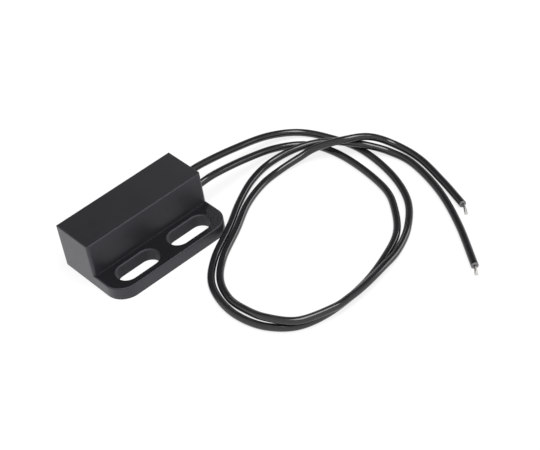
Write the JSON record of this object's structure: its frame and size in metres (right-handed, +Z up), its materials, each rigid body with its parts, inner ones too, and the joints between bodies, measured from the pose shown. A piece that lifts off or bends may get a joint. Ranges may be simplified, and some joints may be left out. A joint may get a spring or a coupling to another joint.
{
  "type": "flange mount reed sensor",
  "caption": "Black moulded block on a slotted mounting flange, potted round a glass reed switch that closes near a magnet, with loose insulated lead wires ending in bare strands.",
  "frame": {"origin": "centre of the housing's underside, on the mounting plane", "axes": "+X along the block towards the end where the wires leave, -Y towards the slotted flange, +Z up from the mounting plane"},
  "size_m": [0.0663, 0.0635, 0.0102],
  "materials": {
    "housing_plastic": "fine matt moulded black plastic",
    "potting_resin": "glossy black cast resin",
    "capsule_glass": "clear greenish glass",
    "reed_alloy": "bright nickel iron wire",
    "solder": "dull bright solder",
    "tinned_copper": "tinned copper strands",
    "wire_insulation": "semi gloss black insulation"
  },
  "bodies": {
    "sensor_body": {"housing": "housing_plastic", "potting_compound": "potting_resin", "glass_capsule": "capsule_glass", "reed_a_lead": "reed_alloy", "reed_b_lead": "reed_alloy", "solder_bead_a": "solder", "solder_bead_b": "solder", "wire_a_tail": "tinned_copper", "wire_b_tail": "tinned_copper", "lead_wire_a": "wire_insulation", "lead_wire_b": "wire_insulation", "wire_a_strands": "tinned_copper", "wire_b_strands": "tinned_copper"},
    "reed_a": {"reed_a_blade": "reed_alloy"},
    "reed_b": {"reed_b_blade": "reed_alloy"}
  },
  "joints": [
    {"name": "reed_a_flex", "type": "hinge", "parent": "sensor_body", "child": "reed_a", "pos_m": [-0.0059, 0.00358, 0.00523], "axis": [0, 1, 0], "range_deg": [0, 0.35], "stiffness_Nm_per_rad": 0.002},
    {"name": "reed_b_flex", "type": "hinge", "parent": "sensor_body", "child": "reed_b", "pos_m": [0.0029, 0.00358, 0.00497], "axis": [0, 1, 0], "range_deg": [0, 0.35], "stiffness_Nm_per_rad": 0.002}
  ],
  "couplings": [
    {"joint": "reed_b_flex", "follows": "reed_a_flex", "ratio": 1}
  ]
}
